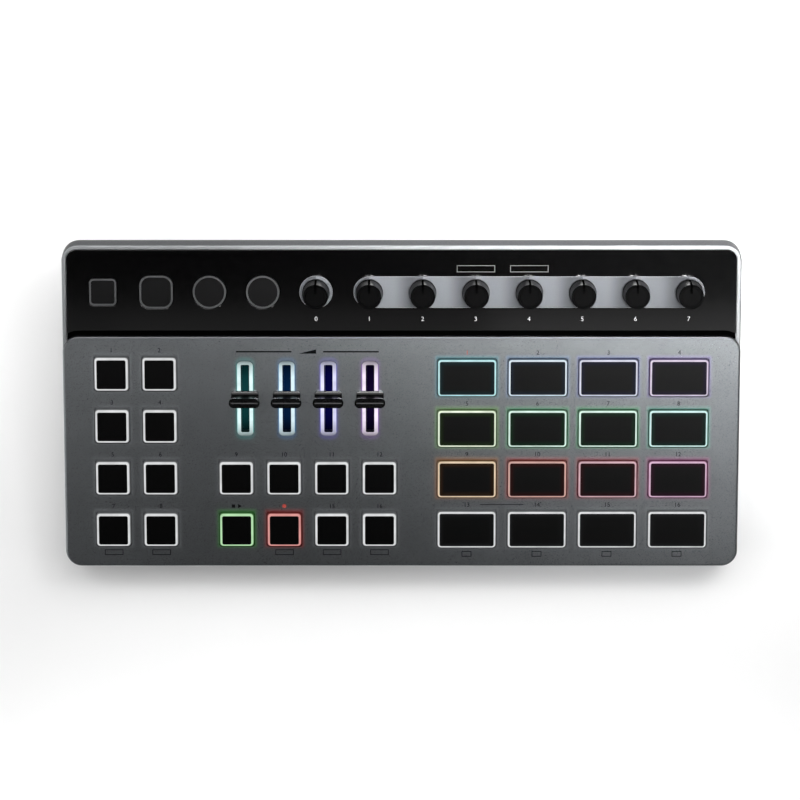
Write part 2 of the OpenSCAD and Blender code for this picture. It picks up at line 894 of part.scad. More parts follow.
// Board under the knobs and panel buttons, which keeps a gap from the case's walls
module panel_board() {
    intersection() {
        on_deck()
            layer(panel_board_w, panel_board_top_w)
                translate([-slab_w / 2, knob_v - panel_board_front])
                    square([slab_w, slab_d]);
        linear_extrude(clear)
            case_outline(case_wall + panel_board_gap, case_inner_r - panel_board_gap);
    }
}

// Deck board, panel board and the switches under the panel buttons
module circuit_boards() {
    board_in = boss_side + boss_d / 2 + lap;
    color("#1f5c3a") {
        panel_board();
        on_deck() {
            layer(board_w, board_top_w)
                translate([-slab_w / 2 + board_in, board_in])
                    square([slab_w - 2 * board_in, rib_v - rib_t - lap - board_in]);
            for (i = [0:buttons - 1])
                translate([place_u(i), knob_v])
                    layer(panel_board_top_w, tact_top_w)
                        square(tact_w, center = true);
        }
    }
}

// Dome under a key or pad, as tall as the fully pressed plunger allows
module switch_dome(travel) {
    top_w = plunger_w - travel - press_gap;
    translate([0, 0, mat_top_w - mat_t / 2])
        cylinder(d1 = dome_base_d, d2 = dome_top_d, h = top_w - mat_top_w + mat_t / 2);
}

// Rubber switch mat on the deck board, cut out round the slide potentiometers
module switch_mat() {
    mat_in = boss_side + boss_d / 2 + 2 * lap;
    pot_room = [slide_pot_w + 2 * lap, slot_l + 2 * (slide_pot_end + lap)];
    color("#4a4c50")
        on_deck() {
            layer(board_top_w, mat_top_w)
                difference() {
                    translate([-slab_w / 2 + mat_in, mat_in])
                        square([slab_w - 2 * mat_in, rib_v - rib_t - 2 * lap - mat_in]);
                    for (i = [0:faders - 1])
                        translate([fader_u(i), fader_v])
                            square(pot_room, center = true);
                }
            for (p = all_keys)
                translate(p)
                    switch_dome(key_travel);
            for (p = pads)
                translate(p)
                    switch_dome(pad_travel);
        }
}

// Rotary potentiometer or encoder with its bushing
module rotary_pot() {
    difference() {
        union() {
            translate([-pot_w / 2, -pot_d / 2, pot_top_w - pot_h])
                cube([pot_w, pot_d, pot_h]);
            layer(pot_top_w - lap, strip_top_w + bush_h)
                circle(d = bush_d);
        }
        layer(shaft_foot_w - shaft_gap, strip_top_w + bush_h + lap)
            circle(d = shaft_d + 2 * shaft_gap);
    }
}

// Slide potentiometer with the groove that its lever runs in
module slide_pot() {
    difference() {
        layer(board_top_w, slide_pot_top)
            square([slide_pot_w, slot_l + 2 * slide_pot_end], center = true);
        layer(slot_floor_w, slide_pot_top + lap)
            square([lever_groove, slot_l], center = true);
    }
}

module potentiometers() {
    color("#a8acb0")
        on_deck() {
            for (i = [0:pots])
                translate([knob_u(i), knob_v, 0])
                    rotary_pot();
            for (i = [0:faders - 1])
                translate([fader_u(i), fader_v, 0])
                    slide_pot();
        }
}

// Audio socket along its own axis: body inside the case, bushing through the wall
module jack() {
    difference() {
        union() {
            translate([-jack_w / 2, -jack_w / 2, -case_wall - fit_gap - jack_l])
                cube([jack_w, jack_w, jack_l]);
            layer(-case_wall - fit_gap - lap, jack_nose)
                circle(d = jack_bush_d);
        }
        layer(jack_nose - jack_bore_l, jack_nose + lap)
            circle(d = jack_bore_d);
    }
    layer(fit_gap, fit_gap + jack_nut_t)
        difference() {
            circle(d = jack_nut_d, $fn = jack_nut_sides);
            circle(d = jack_bush_d + 2 * fit_gap);
        }
}

// Data socket along its own axis: a metal sleeve closed at its inner end, with a contact tongue
module usb_socket() {
    inner_w = usb_w - 2 * usb_wall;
    inner_h = usb_h - 2 * usb_wall;
    layer(-usb_l, 0)
        rotate(90)
            difference() {
                stadium(usb_h, usb_w);
                stadium(inner_h, inner_w);
            }
    layer(-usb_l - usb_back_t, -usb_l)
        rotate(90)
            stadium(usb_h, usb_w);
    layer(-usb_l - usb_back_t / 2, -usb_tongue_in)
        square([usb_tongue_w, usb_tongue_t], center = true);
}

module rear_sockets() {
    color("#3a3c3e") {
        for (i = [0:jacks - 1])
            translate([jack_x(i), case_rear_y, socket_z])
                rotate([-90, 0, 0])
                    jack();
        translate([-usb_u, case_rear_y, socket_z])
            rotate([-90, 0, 0])
                usb_socket();
    }
}

function foot_places() = [
    for (x = [-1, 1], y = [-1, 1])
    [x * (case_w / 2 - foot_in), case_mid_y + y * (case_d / 2 - foot_in)]
];

// Four rubber feet, each let into a pocket of the bottom case
module feet() {
    color("#18191a")
        for (p = foot_places())
            translate([p[0], p[1], 0])
                rotate_extrude()
                    polygon([
                        [0, 0],
                        [foot_d / 2 - foot_chamfer, 0],
                        [foot_d / 2, foot_chamfer],
                        [foot_d / 2, foot_h + foot_pocket],
                        [0, foot_h + foot_pocket],
                    ]);
}

// Pan-head screws that draw the bottom case against the shell's bosses
module case_screws() {
    color("#8a8d90")
        on_deck()
            for (p = boss_places)
                translate(p) {
                    layer(wall_w - screw_head_h, wall_w)
                        circle(d = screw_head_d);
                    layer(wall_w - lap, wall_w + flange_t + screw_l - lap)
                        circle(d = screw_d);
                }
}

top_shell();
deck_plate();
control_panel();
knob_strip();
fader_light_guides();
bottom_case();
circuit_boards();
switch_mat();
potentiometers();
rear_sockets();
feet();
case_screws();
for (i = [1:len(left_keys)])
    lit_key(left_keys[i - 1]);
for (i = [1:len(mid_keys)])
    lit_key(mid_keys[i - 1]);
for (i = [1:len(pads)])
    pad(pads[i - 1]);
for (i = [1:faders])
    fader_cap(i - 1);
for (i = [1:buttons])
    panel_button(i - 1);
knob(0);  // value_knob
for (i = [1:pots])
    knob(i);
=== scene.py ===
import json
import math

import bmesh
import bpy
from mathutils import Matrix, Vector


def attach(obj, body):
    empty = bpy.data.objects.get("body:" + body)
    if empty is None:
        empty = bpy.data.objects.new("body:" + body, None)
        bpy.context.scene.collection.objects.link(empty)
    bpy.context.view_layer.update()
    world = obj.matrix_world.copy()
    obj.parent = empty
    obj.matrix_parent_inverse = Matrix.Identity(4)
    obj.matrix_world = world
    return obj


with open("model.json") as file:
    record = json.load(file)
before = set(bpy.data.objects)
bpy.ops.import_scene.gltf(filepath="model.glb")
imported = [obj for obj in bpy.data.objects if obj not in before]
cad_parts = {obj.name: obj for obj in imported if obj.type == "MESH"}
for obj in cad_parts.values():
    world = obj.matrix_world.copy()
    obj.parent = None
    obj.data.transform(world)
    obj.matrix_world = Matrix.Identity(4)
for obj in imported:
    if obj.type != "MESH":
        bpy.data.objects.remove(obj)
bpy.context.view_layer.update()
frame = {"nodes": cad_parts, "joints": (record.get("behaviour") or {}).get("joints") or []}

# Sizes on the part are in millimetres, and MM turns them into Blender's metres
MM = 0.001
NODES = frame["nodes"]
AXES = {joint["name"]: Vector(joint["axis"]) for joint in frame["joints"]}

# The deck's own grid: u to the right, v rearwards along the slope, w square to the deck
RIGHT = Vector((1, 0, 0))
UPHILL = AXES["fader_cap_1_slide"]
UP = AXES["pad_1_press"]
# Rearwards and upright in the part's frame
REAR = Vector((0, 1, 0))
UPRIGHT = Vector((0, 0, 1))

LEFT_KEYS = [f"left_key_{i}" for i in range(1, 9)]
MID_KEYS = [f"mid_key_{i}" for i in range(1, 9)]
PADS = [f"pad_{i}" for i in range(1, 17)]
FADER_CAPS = [f"fader_cap_{i}" for i in range(1, 5)]
PANEL_BUTTONS = [f"panel_button_{i}" for i in range(1, 5)]
KNOBS = ["value_knob"] + [f"pot_knob_{i}" for i in range(1, 8)]
PLAY_KEY = "mid_key_5"
RECORD_KEY = "mid_key_6"
FIRST_PAD = "pad_1"

# Blocks of keys: names, columns, and half the width and depth of a key's foot
KEY_FOOT = (8.0, 8.0)
PAD_FOOT = (13.6, 8.725)
PAD_COLUMNS = 4
KEY_GRIDS = (
    (LEFT_KEYS, 2, KEY_FOOT),
    (MID_KEYS, 4, KEY_FOOT),
    (PADS, PAD_COLUMNS, PAD_FOOT),
)
# Half the width and depth of a pad's black face
PAD_FACE = (12.3, 7.4)

# Levels of the lit keys and pads, measured down from a key's top and up from the deck
CAP_HEIGHT = 0.4
FOOT_HEIGHT = 0.3
LEVEL_SLACK = 0.02

# Bead of a panel button, and the foot and groove of a fader cap
BEAD_HEIGHT = 0.2
CAP_FOOT = 0.7
GROOVE_DEPTH = 0.25

# Panel's groove, and a knob's pointer line
GROOVE_SLACK = 0.1
POINTER_HALF = 0.52
POINTER_START = 1.5
POINTER_HEIGHT = 11.2

# Half the width and the corner radius of a fader's light guide, and the slide control under it
GUIDE_HALF = 3.8
GUIDE_CORNER = 2.3
SLIDE_POT_HALF = 6
SLIDE_POT_END = 20

# Audio sockets: the first one's place and their spacing to the right, and the radius of a bush
JACK_FIRST = 55
JACK_PITCH = 24
JACK_X = [JACK_FIRST + JACK_PITCH * i for i in range(3)]
BUSH_RADIUS = 5.52

# How far a face looks along an axis to take a finish of its own
RIM_SLOPE = 0.3
REAR_SLOPE = 0.15
KNOB_TOP_SLOPE = 0.6
CAP_TOP_SLOPE = 0.9
LEVEL_SLOPE = 0.5

# Unevenness of a finish: where its noise lies, and its broad spots against its fine grain
NOISE_RANGE = (0.3, 0.7)
NOISE_DETAIL = 2.0
BROAD_SPOTS = 60

# Plastic that is lit from inside
LIT_ROUGHNESS = 0.4
LIT_GRAIN = 6.0
LIT_WANDER = 0.12
MILK_WANDER = 1.3

# Glow of the keys and pads: the deep colour in the gap and the pale one on top
GLOW = {
    "white": ((0.80, 0.84, 0.88), (0.66, 0.67, 0.675)),
    "green": ((0.10, 0.75, 0.08), (0.45, 0.72, 0.42)),
    "red": ((0.85, 0.035, 0.03), (0.66, 0.29, 0.27)),
    "cyan": ((0.02, 0.55, 0.68), (0.50, 0.76, 0.78)),
    "blue": ((0.14, 0.36, 0.75), (0.64, 0.73, 0.79)),
    "indigo": ((0.12, 0.16, 0.80), (0.65, 0.66, 0.76)),
    "violet": ((0.30, 0.10, 0.80), (0.65, 0.57, 0.69)),
    "lime": ((0.30, 0.80, 0.10), (0.76, 0.85, 0.68)),
    "leaf": ((0.04, 0.75, 0.22), (0.65, 0.83, 0.74)),
    "teal": ((0.03, 0.70, 0.45), (0.60, 0.82, 0.79)),
    "orange": ((0.85, 0.33, 0.05), (0.70, 0.56, 0.40)),
    "scarlet": ((0.85, 0.06, 0.03), (0.58, 0.36, 0.32)),
    "rose": ((0.80, 0.05, 0.10), (0.59, 0.39, 0.43)),
    "pink": ((0.75, 0.04, 0.38), (0.60, 0.40, 0.53)),
}
PAD_GLOW = ["cyan", "blue", "indigo", "violet", "lime", "leaf", "leaf", "teal"]
PAD_GLOW += ["orange", "scarlet", "rose", "pink", "white", "white", "white", "white"]
KEY_GLOW = {name: "white" for name in LEFT_KEYS + MID_KEYS}
KEY_GLOW.update({PLAY_KEY: "green", RECORD_KEY: "red"})
KEY_GLOW.update(zip(PADS, PAD_GLOW))

# Shares of the deep colour from a skirt's foot upwards, and where the pale one starts
SKIRT_FADE = ((0.0, 0.02), (0.3, 0.14))
SKIRT_BRIGHT = 0.55
# Shares of the deep colour in the gap, at the deck's top and at a depth below it
GAP_FADE = ((0.0, 0.10), (1.0, 0.02))
GAP_DEPTH = 2.5

# Glow of the fader guides: pale on top, deep inside the slot, where the slide controls' tops carry
# it as painted glow, and the colour of the painted light on the deck
FADER_GLOW = {
    "cyan": ((0.78, 1.0, 1.0), (0.005, 0.048, 0.050), (0.0, 0.26, 0.24)),
    "blue": ((0.76, 0.94, 1.0), (0.002, 0.014, 0.050), (0.0, 0.14, 0.34)),
    "indigo": ((0.76, 0.76, 1.0), (0.002, 0.002, 0.052), (0.08, 0.06, 0.46)),
    "violet": ((0.95, 0.84, 1.0), (0.006, 0.002, 0.022), (0.20, 0.06, 0.36)),
}
# Shares of a guide's and a slot's colour from the slot's middle to the guide's ends
GUIDE_FADE = ((0.0, 1.0), (0.55, 0.95), (0.84, 0.55), (0.92, 0.30), (1.0, 0.24))
SLOT_FADE = ((0.0, 1.0), (0.5, 0.8), (0.9, 0.12))
SLOT_MILK = 0.01
RIM_FADE = 0.35

# Painted light on the deck plate round the keys and guides, and painted shade close to the keys
HALO_REACH = 2.8
HALO_STRENGTH = 0.17
HALO_SHIFT = 0.45
HALO_TONE = {"white": 0.3, "green": 0.55, "red": 0.6}
SHADE_START = 0.2
SHADE_REACH = 0.8
SHADE_DEPTH = 0.35
GUIDE_HALO_REACH = 1.8
GUIDE_HALO_STRENGTH = 0.22

# Painted glow of a pad's ring along the edge of its black face
EDGE_REACH = 2.2
EDGE_GLOW = 0.02

# Painted shade on the pale strip: its tone from its left end to its right one, and a painted shadow
# left of each knob
STRIP_SPAN = (-20, 140)
STRIP_RIGHT = 0.72
STRIP_GAIN = 0.5
STRIP_PAINTED_SHADOW = (5.0, 14.0)
STRIP_PAINTED_SHADOW_DEPTH = 0.5

# Rounding of sharp edges: widths, and what counts as a seam, as flat and as sharp, in degrees
EDGE_WIDTHS = {
    "top_shell": 0.25,
    "deck_plate": 0.08,
    "control_panel": 0.2,
    "bottom_case": 0.3,
    "feet": 0.3,
    "rear_sockets": 0.1,
}
EDGE_WIDTHS.update({node: 0.25 for node in FADER_CAPS})
STRIP_EDGE_WIDTH = 0.3
SEAM = 0.001
FLAT_ANGLE = 0.5
SHARP_ANGLE = 35
EDGE_SEGMENTS = 2
FULL_WEIGHT = 100

# Printed marks: thickness above the surface and below it, height of a number, width of a line
PRINT_THICK = 0.03
PRINT_SINK = 0.01
MARK_HIGH = 2.0
LINE = 0.3
DISC_CORNERS = 24
# A number as Blender writes it: thickness, steps of a curve, and points that count as one
TEXT_THICK = 1.0
TEXT_STEPS = 4
TEXT_SEAM = 0.0001
# Distances of marks from the middles of keys, pads and knobs, and the sizes of boxes
KEY_MARK = 11.0
PAD_MARK = 11.7
KNOB_MARK = 12.4
KNOB_BOX_AWAY = 10.8
KNOB_BOX = (17.5, 3.2)
KEY_BOX_AWAY = 10.9
KEY_BOX = (8.5, 2.6)
PAD_BOX = (4.5, 2.6)
PAIR_LINE = 20
BOXED_KEYS = LEFT_KEYS[-2:] + MID_KEYS[-3:]
BOXED_KNOBS = KNOBS[3:5]
# Signs for stop, play and record, about the middle of their mark
STOP_U = -1.5
STOP_SIDE = 1.5
PLAY_U = (0.6, 2.4)
PLAY_HALF = 1.0
RECORD_DISC = 1.9
# Line behind the faders, in two stretches with a wedge between them
FADER_LINE_V = 101.0
FADER_LINE = (25.5, 0.65)
FADER_LINE_IN = 8.7
WEDGE_HALF = 4
WEDGE_FRONT = 0.9
WEDGE_REAR = 1.1

# Camera: the place on the deck that it looks at, its lean behind the deck's normal, its distance
VIEW_U = -0.74
VIEW_V = 78.45
VIEW_LEAN = math.radians(11)
VIEW_DISTANCE = 1690
VIEW_LENS = 165.4

# The studio is in metres, degrees and watts
SIGHT = 50
PART = (0, 0, 0.02)
# Soft boxes at the left and the rear whiten the floor and leave a shadow in front of the part:
# turn, height, width and power
BOX_DISTANCE = 1.8
SOFT_BOXES = {
    "low_front_left": (225, 12, 0.6, 5.0),
    "low_left": (270, 12, 0.6, 2.9),
    "left": (270, 28, 2.0, 15.5),
    "rear_left": (330, 62, 1.5, 6.6),
    "rear": (30, 62, 1.5, 9.0),
    "rear_right": (45, 48, 1.4, 7.5),
}
# Dim cards overhead, whose reflection ends part of the way up the glossy panel:
# middle, width and power
CARDS = {
    "card_left": (-0.5, 0.5, 0.062),
    "card": (-0.085, 0.33, 0.058),
    "card_right": (0.415, 0.67, 0.27),
}
CARD_Y = -0.62
CARD_Z = 1.5
CARD_DEPTH = 0.4
# A card hangs a hair off level, so that its width lies along the part
CARD_LEAN = 0.00001
# Pools of light, over the rear and the ends of the deck and on the floor in front of it:
# place, aim, angle and power
POOLS = {
    "pool_left": ((-0.25, 0.10, 1.2), (-0.25, 0.15, 0.04), 24, 15.0),
    "pool_middle": ((0.0, 0.10, 1.2), (0.0, 0.18, 0.04), 22, 28.0),
    "pool_pads": ((0.15, 0.08, 1.2), (0.15, 0.16, 0.04), 22, 75.0),
    "pool_right": ((0.25, 0.02, 1.2), (0.25, 0.10, 0.04), 18, 38.0),
    "pool_far_left": ((-0.5, 0.4, 0.9), (-0.15, 0.10, 0.04), 46, 5.0),
    "pool_far_right": ((0.5, 0.4, 0.9), (0.18, 0.10, 0.04), 46, 8.0),
    "pool_left_end": ((-0.42, -0.42, 1.2), (-0.15, 0.03, 0.04), 18, 0.65),
    "pool_right_end": ((0.42, -0.42, 1.2), (0.15, 0.03, 0.04), 18, 1.4),
    "floor_left": ((-1.0, -0.36, 0.8), (0.0, -0.36, 0.0), 24, 80.0),
    "floor_right": ((1.0, -0.36, 0.8), (0.0, -0.36, 0.0), 24, 56.0),
}
POOL_RADIUS = 0.12
# Weak band of light along the horizon: its upper end as a share of upright, strength and colour
HORIZON = 0.25
HORIZON_GLOW = 0.08
HORIZON_COLOR = (0.9, 0.93, 1.0, 1)
FLOOR_HALF = 4


# Places on the part


def span(node, axis):
    """Lowest and highest place of a node along an axis, in metres."""
    places = [axis.dot(vertex.co) for vertex in NODES[node].data.vertices]
    return min(places), max(places)


DECK_TOP = span("deck_plate", UP)[1]
DECK_FRONT = span("deck_plate", UPHILL)[0]


def deck_point(u, v, w=0.0):
    """Point of the deck's grid in Blender's frame."""
    return RIGHT * (u * MM) + UPHILL * (v * MM + DECK_FRONT) + UP * (w * MM + DECK_TOP)


def deck_frame(u, v, w=0.0):
    """Matrix that stands something drawn flat in X and Y at a place of the deck's grid."""
    turn = Matrix((RIGHT, UPHILL, UP)).transposed().to_4x4()
    return Matrix.Translation(deck_point(u, v, w)) @ turn


def deck_level(point):
    """Height of a point above the deck's top, in millimetres."""
    return (UP.dot(point) - DECK_TOP) / MM


def middle(node):
    """Place of a node's middle on the deck's grid."""
    u = sum(span(node, RIGHT)) / 2 / MM
    v = (sum(span(node, UPHILL)) / 2 - DECK_FRONT) / MM
    return u, v


def top_level(node):
    """Level of a node's highest point above the deck's top."""
    return (span(node, UP)[1] - DECK_TOP) / MM


PANEL_TOP = top_level("control_panel")
FADER_U = [middle(node)[0] for node in FADER_CAPS]
GUIDE_V = middle("fader_light_guides")[1]
GUIDE_REACH = (span("fader_light_guides", UPHILL)[1] - DECK_FRONT) / MM - GUIDE_V
GUIDE_CORE = (GUIDE_HALF - GUIDE_CORNER, GUIDE_REACH - GUIDE_CORNER)
SLIDE_POT_REAR = span("fader_light_guides", REAR)[1] + SLIDE_POT_END * MM
CASE_REAR = span("bottom_case", REAR)[1]
SOCKET_Z = sum(span("rear_sockets", UPRIGHT)) / 2 / MM


# Steps of a material


def shader_socket(material, name):
    """Input of a material's shader."""
    return material.node_tree.nodes["Principled BSDF"].inputs[name]


def new_material(name, **sockets):
    """Material with even values set on its shader's own sockets; _ stands for a space."""
    material = bpy.data.materials.new(name)
    material.use_nodes = True
    for socket, value in sockets.items():
        shader_socket(material, socket.replace("_", " ")).default_value = value
    return material


def tone(color, share):
    """The colour made darker or lighter by a share."""
    return tuple(channel * share for channel in color)


def toned(color, fade_stops):
    """Stops of place and colour, from stops of place and share of one colour."""
    return [(place, tone(color, share)) for place, share in fade_stops]


def calc(material, operation, *values):
    """One step of arithmetic on numbers and sockets."""
    tree = material.node_tree
    step = tree.nodes.new("ShaderNodeMath")
    step.operation = operation
    for socket, value in zip(step.inputs, values):
        if isinstance(value, (int, float)):
            socket.default_value = value
        else:
            tree.links.new(value, socket)
    return step.outputs["Value"]


def map_range(tree, value, source, target, smooth=False):
    """Value carried over from one range to another and held at its ends."""
    ranger = tree.nodes.new("ShaderNodeMapRange")
    ranger.interpolation_type = "SMOOTHSTEP" if smooth else "LINEAR"
    for socket, number in zip(("From Min", "From Max", "To Min", "To Max"), (*source, *target)):
        ranger.inputs[socket].default_value = number
    tree.links.new(value, ranger.inputs["Value"])
    return ranger.outputs["Result"]


def fade(material, value, start, stop, smooth=True):
    """Falls from one to nothing while a value goes from start to stop."""
    return map_range(material.node_tree, value, (start, stop), (1, 0), smooth)


def color_ramp(material, fac, stops, steps=False):
    """Colour that follows a value through stops of place and colour, smoothly or in steps."""
    ramp = material.node_tree.nodes.new("ShaderNodeValToRGB")
    ramp.color_ramp.interpolation = "CONSTANT" if steps else "LINEAR"
    elements = ramp.color_ramp.elements
    elements.remove(elements[1])
    elements[0].position = stops[0][0]
    elements[0].color = (*stops[0][1], 1)
    for place, color in stops[1:]:
        elements.new(place).color = (*color, 1)
    material.node_tree.links.new(fac, ramp.inputs["Fac"])
    return ramp.outputs["Color"]


def pick_color(material, number, colors):
    """The colour of a list that goes with a whole number."""
    count = len(colors)
    share = calc(material, "DIVIDE", calc(material, "ADD", number, 0.5), count)
    stops = [(i / count, color) for i, color in enumerate(colors)]
    return color_ramp(material, share, stops, steps=True)


def scaled(material, color, share):
    """Colour times a number."""
    tree = material.node_tree
    step = tree.nodes.new("ShaderNodeVectorMath")
    step.operation = "SCALE"
    tree.links.new(color, step.inputs[0])
    tree.links.new(share, step.inputs["Scale"])
    return step.outputs["Vector"]


def summed(material, colors):
    """Sum of colours."""
    tree = material.node_tree
    total = colors[0]
    for color in colors[1:]:
        step = tree.nodes.new("ShaderNodeVectorMath")
        step.operation = "ADD"
        tree.links.new(total, step.inputs[0])
        tree.links.new(color, step.inputs[1])
        total = step.outputs["Vector"]
    return total


def place_along(material, axis, start):
    """Place along an axis, in millimetres from a start, on the piece's own coordinates."""
    tree = material.node_tree
    place = tree.nodes.new("ShaderNodeTexCoord")
    along = tree.nodes.new("ShaderNodeVectorMath")
    along.operation = "DOT_PRODUCT"
    along.inputs[1].default_value = axis / MM
    tree.links.new(place.outputs["Object"], along.inputs[0])
    return calc(material, "SUBTRACT", along.outputs["Value"], start / MM)


def deck_u(material):
    """Place to the right on the deck's grid."""
    return place_along(material, RIGHT, 0.0)


def deck_v(material):
    """Place rearwards on the deck's grid."""
    return place_along(material, UPHILL, DECK_FRONT)


def deck_w(material):
    """Height above the deck's top."""
    return place_along(material, UP, DECK_TOP)


def nearest_step(material, place, first, step, count):
    """Number of the nearest of several evenly spaced places, and how far off it is."""
    offset = calc(material, "SUBTRACT", place, first)
    number = calc(material, "ROUND", calc(material, "DIVIDE", offset, step))
    number = calc(material, "MAXIMUM", calc(material, "MINIMUM", number, count - 1), 0)
    away = calc(material, "SUBTRACT", offset, calc(material, "MULTIPLY", number, step))
    return number, calc(material, "ABSOLUTE", away)


def nearest_key(material, keys, columns, shift=0.0):
    """Number of the nearest key of a block, and how far its middle is off across and along."""
    first_u, first_v = middle(keys[0])
    step_u = middle(keys[1])[0] - first_u
    step_v = middle(keys[columns])[1] - first_v
    rows = len(keys) // columns
    column, across = nearest_step(material, deck_u(material), first_u, step_u, columns)
    row, along = nearest_step(material, deck_v(material), first_v + shift, step_v, rows)
    return calc(material, "MULTIPLY_ADD", row, columns, column), across, along


def beyond(material, across, along, half):
    """Distance of a point outside a rectangle about the middle of its cell."""
    across = calc(material, "MAXIMUM", calc(material, "SUBTRACT", across, half[0]), 0)
    along = calc(material, "MAXIMUM", calc(material, "SUBTRACT", along, half[1]), 0)
    square = calc(material, "MULTIPLY", along, along)
    return calc(material, "SQRT", calc(material, "MULTIPLY_ADD", across, across, square))


# Finishes


def noise(material, grain):
    """Noise on the piece's own coordinates whose spots are about grain millimetres wide."""
    tree = material.node_tree
    place = tree.nodes.new("ShaderNodeTexCoord")
    texture = tree.nodes.new("ShaderNodeTexNoise")
    texture.inputs["Scale"].default_value = 1 / (grain * MM)
    texture.inputs["Detail"].default_value = NOISE_DETAIL
    tree.links.new(place.outputs["Object"], texture.inputs["Vector"])
    return texture.outputs["Fac"]


def spread(material, fac, socket, low, high):
    """Lets a number of the shader wander between two values."""
    tree = material.node_tree
    wandering = map_range(tree, fac, NOISE_RANGE, (low, high))
    tree.links.new(wandering, shader_socket(material, socket))


def mottle(material, fac, dark, light):
    """Lets the base colour wander between two colours."""
    color = color_ramp(material, fac, list(zip(NOISE_RANGE, (dark, light))))
    material.node_tree.links.new(color, shader_socket(material, "Base Color"))


def relief(material, fac, depth):
    """Raises the surface by the noise, up to a depth in millimetres."""
    tree = material.node_tree
    bump = tree.nodes.new("ShaderNodeBump")
    bump.inputs["Strength"].default_value = 1.0
    bump.inputs["Distance"].default_value = depth * MM
    tree.links.new(fac, bump.inputs["Height"])
    tree.links.new(bump.outputs["Normal"], shader_socket(material, "Normal"))


def finish(name, color, rough, grain, depth, wander=0.1, **sockets):
    """Finish with uneven colour and roughness and a fine relief; grain and depth are sizes."""
    material = new_material(name, **sockets)
    broad = noise(material, BROAD_SPOTS * grain)
    fine = noise(material, grain)
    mottle(material, broad, tone(color, 1 - wander), tone(color, 1 + wander))
    spread(material, fine, "Roughness", *rough)
    relief(material, fine, depth)
    return material


def metal(name, *look, **sockets):
    """Finish of bare or anodised metal."""
    return finish(name, *look, Metallic=1.0, **sockets)


def black(name, gloss, *look, **sockets):
    """Finish of something black, whose look rests on its gloss."""
    return finish(name, *look, Specular_IOR_Level=gloss, **sockets)


def lit_plastic(name, fac_of, stops, milk=0.06, gloss=0.3):
    """Plastic lit from inside, in colours that follow a value of its own coordinates."""
    material = new_material(name, Roughness=LIT_ROUGHNESS, Specular_IOR_Level=gloss)
    glow = color_ramp(material, fac_of(material), stops)
    material.node_tree.links.new(glow, shader_socket(material, "Emission Color"))
    broad = noise(material, LIT_GRAIN)
    base = tone(stops[-1][1], milk)
    mottle(material, broad, base, tone(base, MILK_WANDER))
    spread(material, broad, "Emission Strength", 1 - LIT_WANDER, 1 + LIT_WANDER)
    return material


def darken(material, share):
    """Multiplies the base colour by a number."""
    socket = shader_socket(material, "Base Color")
    color = socket.links[0].from_socket
    material.node_tree.links.new(scaled(material, color, share), socket)


def shine(material, color):
    """Lets a surface give off a colour, as painted light."""
    material.node_tree.links.new(color, shader_socket(material, "Emission Color"))
    shader_socket(material, "Emission Strength").default_value = 1.0


# Painted shade: the shell's walls take a finish a little darker than its rim
SHADED_SHELL_METAL = metal(
    "shell_metal",
    (0.21, 0.215, 0.22),
    (0.30, 0.40),
    0.8,
    0.004,
    0.05,
    Specular_Tint=(0.3, 0.3, 0.3, 1),
)
RIM_METAL = metal("rim_metal", (0.23, 0.236, 0.242), (0.30, 0.40), 0.8, 0.002, 0.05)
DECK_METAL = metal("deck_metal", (0.180, 0.190, 0.198), (0.26, 0.34), 0.25, 0.0008, 0.05)
# Painted shade: the deck plate's rear-facing edge is much darker than its top
DECK_REAR_SHADE = metal("deck_rear_shade", (0.075, 0.078, 0.082), (0.30, 0.38), 0.5, 0.002, 0.05)
STRIP_METAL = metal("strip_metal", (0.163, 0.170, 0.183), (0.52, 0.58), 0.5, 0.001, 0.04)
# Painted highlight: the strip's rounded edges take a much paler finish than the strip
STRIP_EDGE_HIGHLIGHT = metal("strip_edge_highlight", (0.62, 0.63, 0.66), (0.50, 0.58), 0.5, 0.001, 0.04)
POT_METAL = metal("pot_metal", (0.45, 0.46, 0.47), (0.3, 0.42), 0.4, 0.006)
SOCKET_METAL = metal("socket_metal", (0.52, 0.52, 0.51), (0.22, 0.34), 0.4, 0.004)
SCREW_STEEL = metal("screw_steel", (0.16, 0.16, 0.165), (0.3, 0.42), 0.3, 0.004)
LEVER_METAL = metal("lever_metal", (0.42, 0.43, 0.44), (0.28, 0.4), 0.3, 0.004)

PANEL_BLACK = black(
    "panel_black", 0.95, (0.0005, 0.0005, 0.0006), (0.075, 0.09), 3.0, 0.00004, IOR=1.6
)
# Painted shade: the panel's groove is a dull black that reflects nothing, for the shade in it
GROOVE_SHADE_BLACK = black("groove_painted_shade", 0.0, (0.0006, 0.0006, 0.0006), (0.6, 0.7), 0.5, 0.004)
FADER_BLACK = black("fader_black", 0.4, (0.0008, 0.0008, 0.0009), (0.18, 0.26), 0.5, 0.002)
CAP_TOP = black("cap_top", 0.1, (0.0008, 0.0008, 0.0009), (0.24, 0.32), 0.5, 0.002)
BUTTON_BLACK = black("button_black", 0.12, (0.0012, 0.0012, 0.0014), (0.3, 0.4), 0.8, 0.003)
KNOB_FLANK = black("knob_flank", 0.06, (0.0012, 0.0012, 0.0013), (0.26, 0.34), 0.5, 0.001)
KNOB_TOP = black("knob_top", 0.03, (0.0010, 0.0010, 0.0011), (0.36, 0.46), 0.5, 0.004)
KNOB_LINE = black("knob_line", 0.0, (0.0006, 0.0006, 0.0006), (0.6, 0.7), 0.5, 0.002)
KEY_BLACK = black("key_black", 0.06, (0.0004, 0.0004, 0.0005), (0.37, 0.45), 0.7, 0.006)
PAD_BLACK = black("pad_black", 0.112, (0.0004, 0.0004, 0.0005), (0.30, 0.38), 0.7, 0.006)
PRINT_DARK = black("print_dark", 0.04, (0.004, 0.004, 0.005), (0.5, 0.6), 0.4, 0.002)

